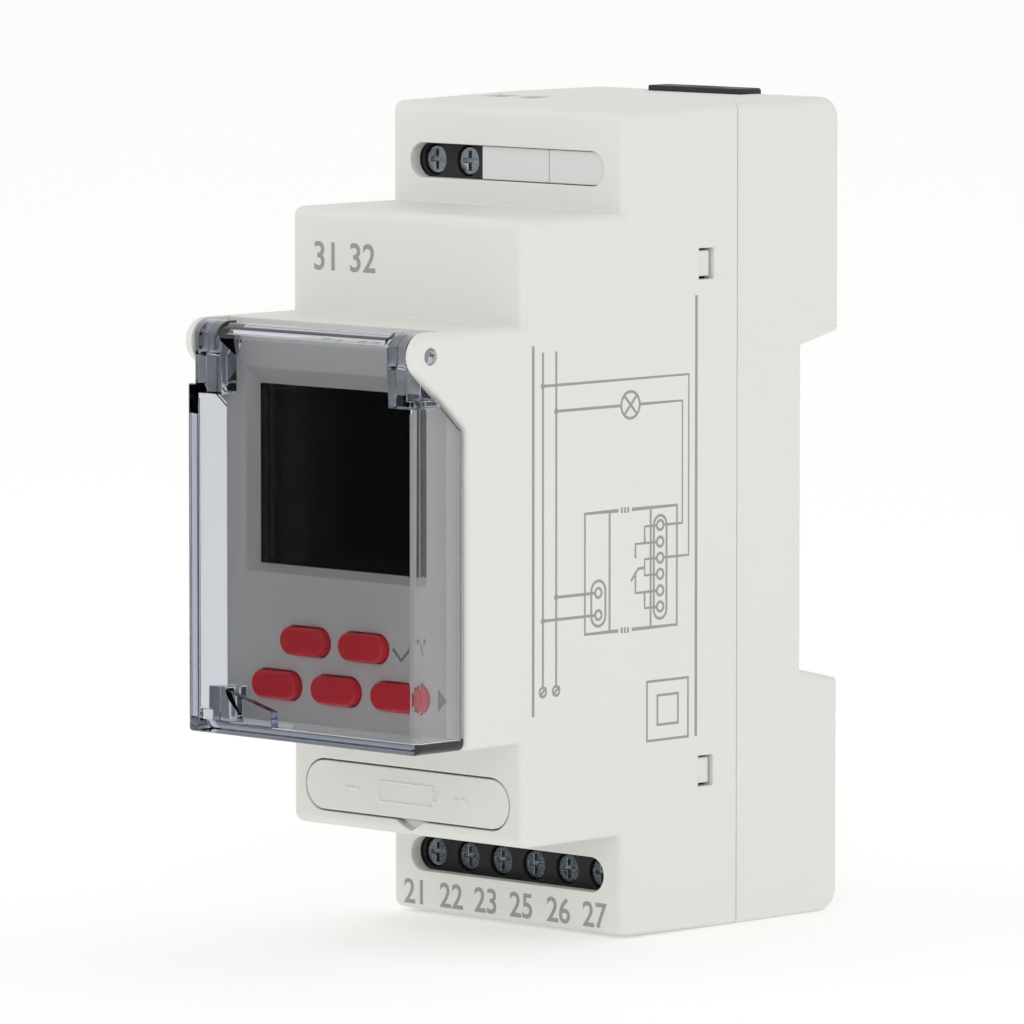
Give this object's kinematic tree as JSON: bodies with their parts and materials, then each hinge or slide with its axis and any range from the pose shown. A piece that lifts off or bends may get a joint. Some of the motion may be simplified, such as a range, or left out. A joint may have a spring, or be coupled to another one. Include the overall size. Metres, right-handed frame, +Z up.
{
  "type": "din rail timer",
  "caption": "Weekly time switch for a 35 mm rail: stepped two-shell case, hinged smoked cover over a display and buttons, battery drawer, screw terminals and sprung rail clips.",
  "frame": {"origin": "centre of the face that lies on the rail, at mid width and at the rail's centre line", "axes": "+X to the right seen from the front, +Y backwards into the rail, +Z up; the front looks along -Y"},
  "size_m": [0.035, 0.0668, 0.0906],
  "materials": {
    "housing": "fine matt moulded surface",
    "insert": "fine matt moulded surface",
    "smoked_cover": "clear smoked polycarbonate, polished",
    "button": "satin silicone-like plastic",
    "black_plastic": "matt black",
    "zinc": "bright zinc plate",
    "contact_metal": "tinned copper alloy",
    "window": "clear polished lens",
    "lcd": "dark display glass",
    "board": "solder resist",
    "rubber": "conductive silicone",
    "bright_steel": "bright can",
    "sleeve": "shrunk sleeve",
    "film_yellow": "moulded box",
    "relay_blue": "moulded case",
    "ferrite": "sintered ferrite",
    "varistor_blue": "dipped epoxy",
    "resistor_body": "cement coat"
  },
  "bodies": {
    "housing": {"battery_contact_minus": "contact_metal", "battery_contact_plus": "contact_metal", "battery_guide": "black_plastic", "blanking_insert_1": "insert", "blanking_insert_2": "insert", "board_header": "black_plastic", "bulk_capacitor": "sleeve", "choke": "ferrite", "contact_strips_lower": "contact_metal", "contact_strips_upper": "contact_metal", "display_board": "board", "display_window": "window", "film_capacitor": "film_yellow", "front_housing": "housing", "fuse_resistor": "resistor_body", "lcd_frame": "black_plastic", "lcd_panel": "lcd", "microcontroller": "black_plastic", "power_board": "board", "quartz_crystal": "bright_steel", "rear_housing": "housing", "relay": "relay_blue", "riser_board": "board", "tact_switches": "black_plastic", "terminal_block_lower": "black_plastic", "terminal_block_upper": "black_plastic", "varistor": "varistor_blue", "zebra_connectors": "rubber"},
    "button_menu": {"button_menu": "button", "plunger_menu": "black_plastic"},
    "button_ok": {"button_ok": "button", "plunger_ok": "black_plastic"},
    "button_minus": {"button_minus": "button", "plunger_minus": "black_plastic"},
    "button_plus": {"button_plus": "button", "plunger_plus": "black_plastic"},
    "button_next": {"button_next": "button", "plunger_next": "black_plastic"},
    "cover": {"front_cover": "smoked_cover"},
    "drawer": {"battery_drawer": "housing", "coin_cell": "bright_steel"},
    "clip_upper": {"rail_clip_upper": "black_plastic"},
    "clip_lower": {"rail_clip_lower": "black_plastic"},
    "screw_lower_1": {"screw_lower_1": "zinc"},
    "cage_lower_1": {"cage_lower_1": "zinc"},
    "screw_lower_2": {"screw_lower_2": "zinc"},
    "cage_lower_2": {"cage_lower_2": "zinc"},
    "screw_lower_3": {"screw_lower_3": "zinc"},
    "cage_lower_3": {"cage_lower_3": "zinc"},
    "screw_lower_4": {"screw_lower_4": "zinc"},
    "cage_lower_4": {"cage_lower_4": "zinc"},
    "screw_lower_5": {"screw_lower_5": "zinc"},
    "cage_lower_5": {"cage_lower_5": "zinc"},
    "screw_lower_6": {"screw_lower_6": "zinc"},
    "cage_lower_6": {"cage_lower_6": "zinc"},
    "screw_upper_1": {"screw_upper_1": "zinc"},
    "cage_upper_1": {"cage_upper_1": "zinc"},
    "screw_upper_2": {"screw_upper_2": "zinc"},
    "cage_upper_2": {"cage_upper_2": "zinc"}
  },
  "joints": [
    {"name": "cover_hinge", "type": "hinge", "parent": "housing", "child": "cover", "pos_m": [0, -0.0583, 0.0199], "axis": [-1, 0, 0], "range_deg": [0, 110]},
    {"name": "press_menu", "type": "slide", "parent": "housing", "child": "button_menu", "axis": [0, 1, 0], "range_m": [0, 0.0004], "stiffness_N_per_m": 800},
    {"name": "press_ok", "type": "slide", "parent": "housing", "child": "button_ok", "axis": [0, 1, 0], "range_m": [0, 0.0004], "stiffness_N_per_m": 800},
    {"name": "press_minus", "type": "slide", "parent": "housing", "child": "button_minus", "axis": [0, 1, 0], "range_m": [0, 0.0004], "stiffness_N_per_m": 800},
    {"name": "press_plus", "type": "slide", "parent": "housing", "child": "button_plus", "axis": [0, 1, 0], "range_m": [0, 0.0004], "stiffness_N_per_m": 800},
    {"name": "press_next", "type": "slide", "parent": "housing", "child": "button_next", "axis": [0, 1, 0], "range_m": [0, 0.0004], "stiffness_N_per_m": 800},
    {"name": "drawer_slide", "type": "slide", "parent": "housing", "child": "drawer", "axis": [0, -1, 0], "range_m": [0, 0.024]},
    {"name": "clip_upper_slide", "type": "slide", "parent": "housing", "child": "clip_upper", "axis": [0, 0, 1], "range_m": [0, 0.0035], "stiffness_N_per_m": 1500},
    {"name": "clip_lower_slide", "type": "slide", "parent": "housing", "child": "clip_lower", "axis": [0, 0, -1], "range_m": [0, 0.0035], "stiffness_N_per_m": 1500},
    {"name": "screw_lower_1_turn", "type": "hinge", "parent": "housing", "child": "screw_lower_1", "pos_m": [-0.0125, -0.0267, -0.03825], "axis": [0, 1, 0], "range_deg": [0, 1441]},
    {"name": "cage_lower_1_rise", "type": "slide", "parent": "housing", "child": "cage_lower_1", "axis": [0, -1, 0], "range_m": [0, 0.002]},
    {"name": "screw_lower_2_turn", "type": "hinge", "parent": "housing", "child": "screw_lower_2", "pos_m": [-0.0075, -0.0267, -0.03825], "axis": [0, 1, 0], "range_deg": [0, 1441]},
    {"name": "cage_lower_2_rise", "type": "slide", "parent": "housing", "child": "cage_lower_2", "axis": [0, -1, 0], "range_m": [0, 0.002]},
    {"name": "screw_lower_3_turn", "type": "hinge", "parent": "housing", "child": "screw_lower_3", "pos_m": [-0.0025, -0.0267, -0.03825], "axis": [0, 1, 0], "range_deg": [0, 1441]},
    {"name": "cage_lower_3_rise", "type": "slide", "parent": "housing", "child": "cage_lower_3", "axis": [0, -1, 0], "range_m": [0, 0.002]},
    {"name": "screw_lower_4_turn", "type": "hinge", "parent": "housing", "child": "screw_lower_4", "pos_m": [0.0025, -0.0267, -0.03825], "axis": [0, 1, 0], "range_deg": [0, 1441]},
    {"name": "cage_lower_4_rise", "type": "slide", "parent": "housing", "child": "cage_lower_4", "axis": [0, -1, 0], "range_m": [0, 0.002]},
    {"name": "screw_lower_5_turn", "type": "hinge", "parent": "housing", "child": "screw_lower_5", "pos_m": [0.0075, -0.0267, -0.03825], "axis": [0, 1, 0], "range_deg": [0, 1441]},
    {"name": "cage_lower_5_rise", "type": "slide", "parent": "housing", "child": "cage_lower_5", "axis": [0, -1, 0], "range_m": [0, 0.002]},
    {"name": "screw_lower_6_turn", "type": "hinge", "parent": "housing", "child": "screw_lower_6", "pos_m": [0.0125, -0.0267, -0.03825], "axis": [0, 1, 0], "range_deg": [0, 1441]},
    {"name": "cage_lower_6_rise", "type": "slide", "parent": "housing", "child": "cage_lower_6", "axis": [0, -1, 0], "range_m": [0, 0.002]},
    {"name": "screw_upper_1_turn", "type": "hinge", "parent": "housing", "child": "screw_upper_1", "pos_m": [-0.0125, -0.0267, 0.03825], "axis": [0, 1, 0], "range_deg": [0, 1441]},
    {"name": "cage_upper_1_rise", "type": "slide", "parent": "housing", "child": "cage_upper_1", "axis": [0, -1, 0], "range_m": [0, 0.002]},
    {"name": "screw_upper_2_turn", "type": "hinge", "parent": "housing", "child": "screw_upper_2", "pos_m": [-0.0075, -0.0267, 0.03825], "axis": [0, 1, 0], "range_deg": [0, 1441]},
    {"name": "cage_upper_2_rise", "type": "slide", "parent": "housing", "child": "cage_upper_2", "axis": [0, -1, 0], "range_m": [0, 0.002]}
  ],
  "couplings": [
    {"joint": "screw_lower_1_turn", "follows": "cage_lower_1_rise", "rad_per_m": 12566},
    {"joint": "screw_lower_2_turn", "follows": "cage_lower_2_rise", "rad_per_m": 12566},
    {"joint": "screw_lower_3_turn", "follows": "cage_lower_3_rise", "rad_per_m": 12566},
    {"joint": "screw_lower_4_turn", "follows": "cage_lower_4_rise", "rad_per_m": 12566},
    {"joint": "screw_lower_5_turn", "follows": "cage_lower_5_rise", "rad_per_m": 12566},
    {"joint": "screw_lower_6_turn", "follows": "cage_lower_6_rise", "rad_per_m": 12566},
    {"joint": "screw_upper_1_turn", "follows": "cage_upper_1_rise", "rad_per_m": 12566},
    {"joint": "screw_upper_2_turn", "follows": "cage_upper_2_rise", "rad_per_m": 12566}
  ]
}
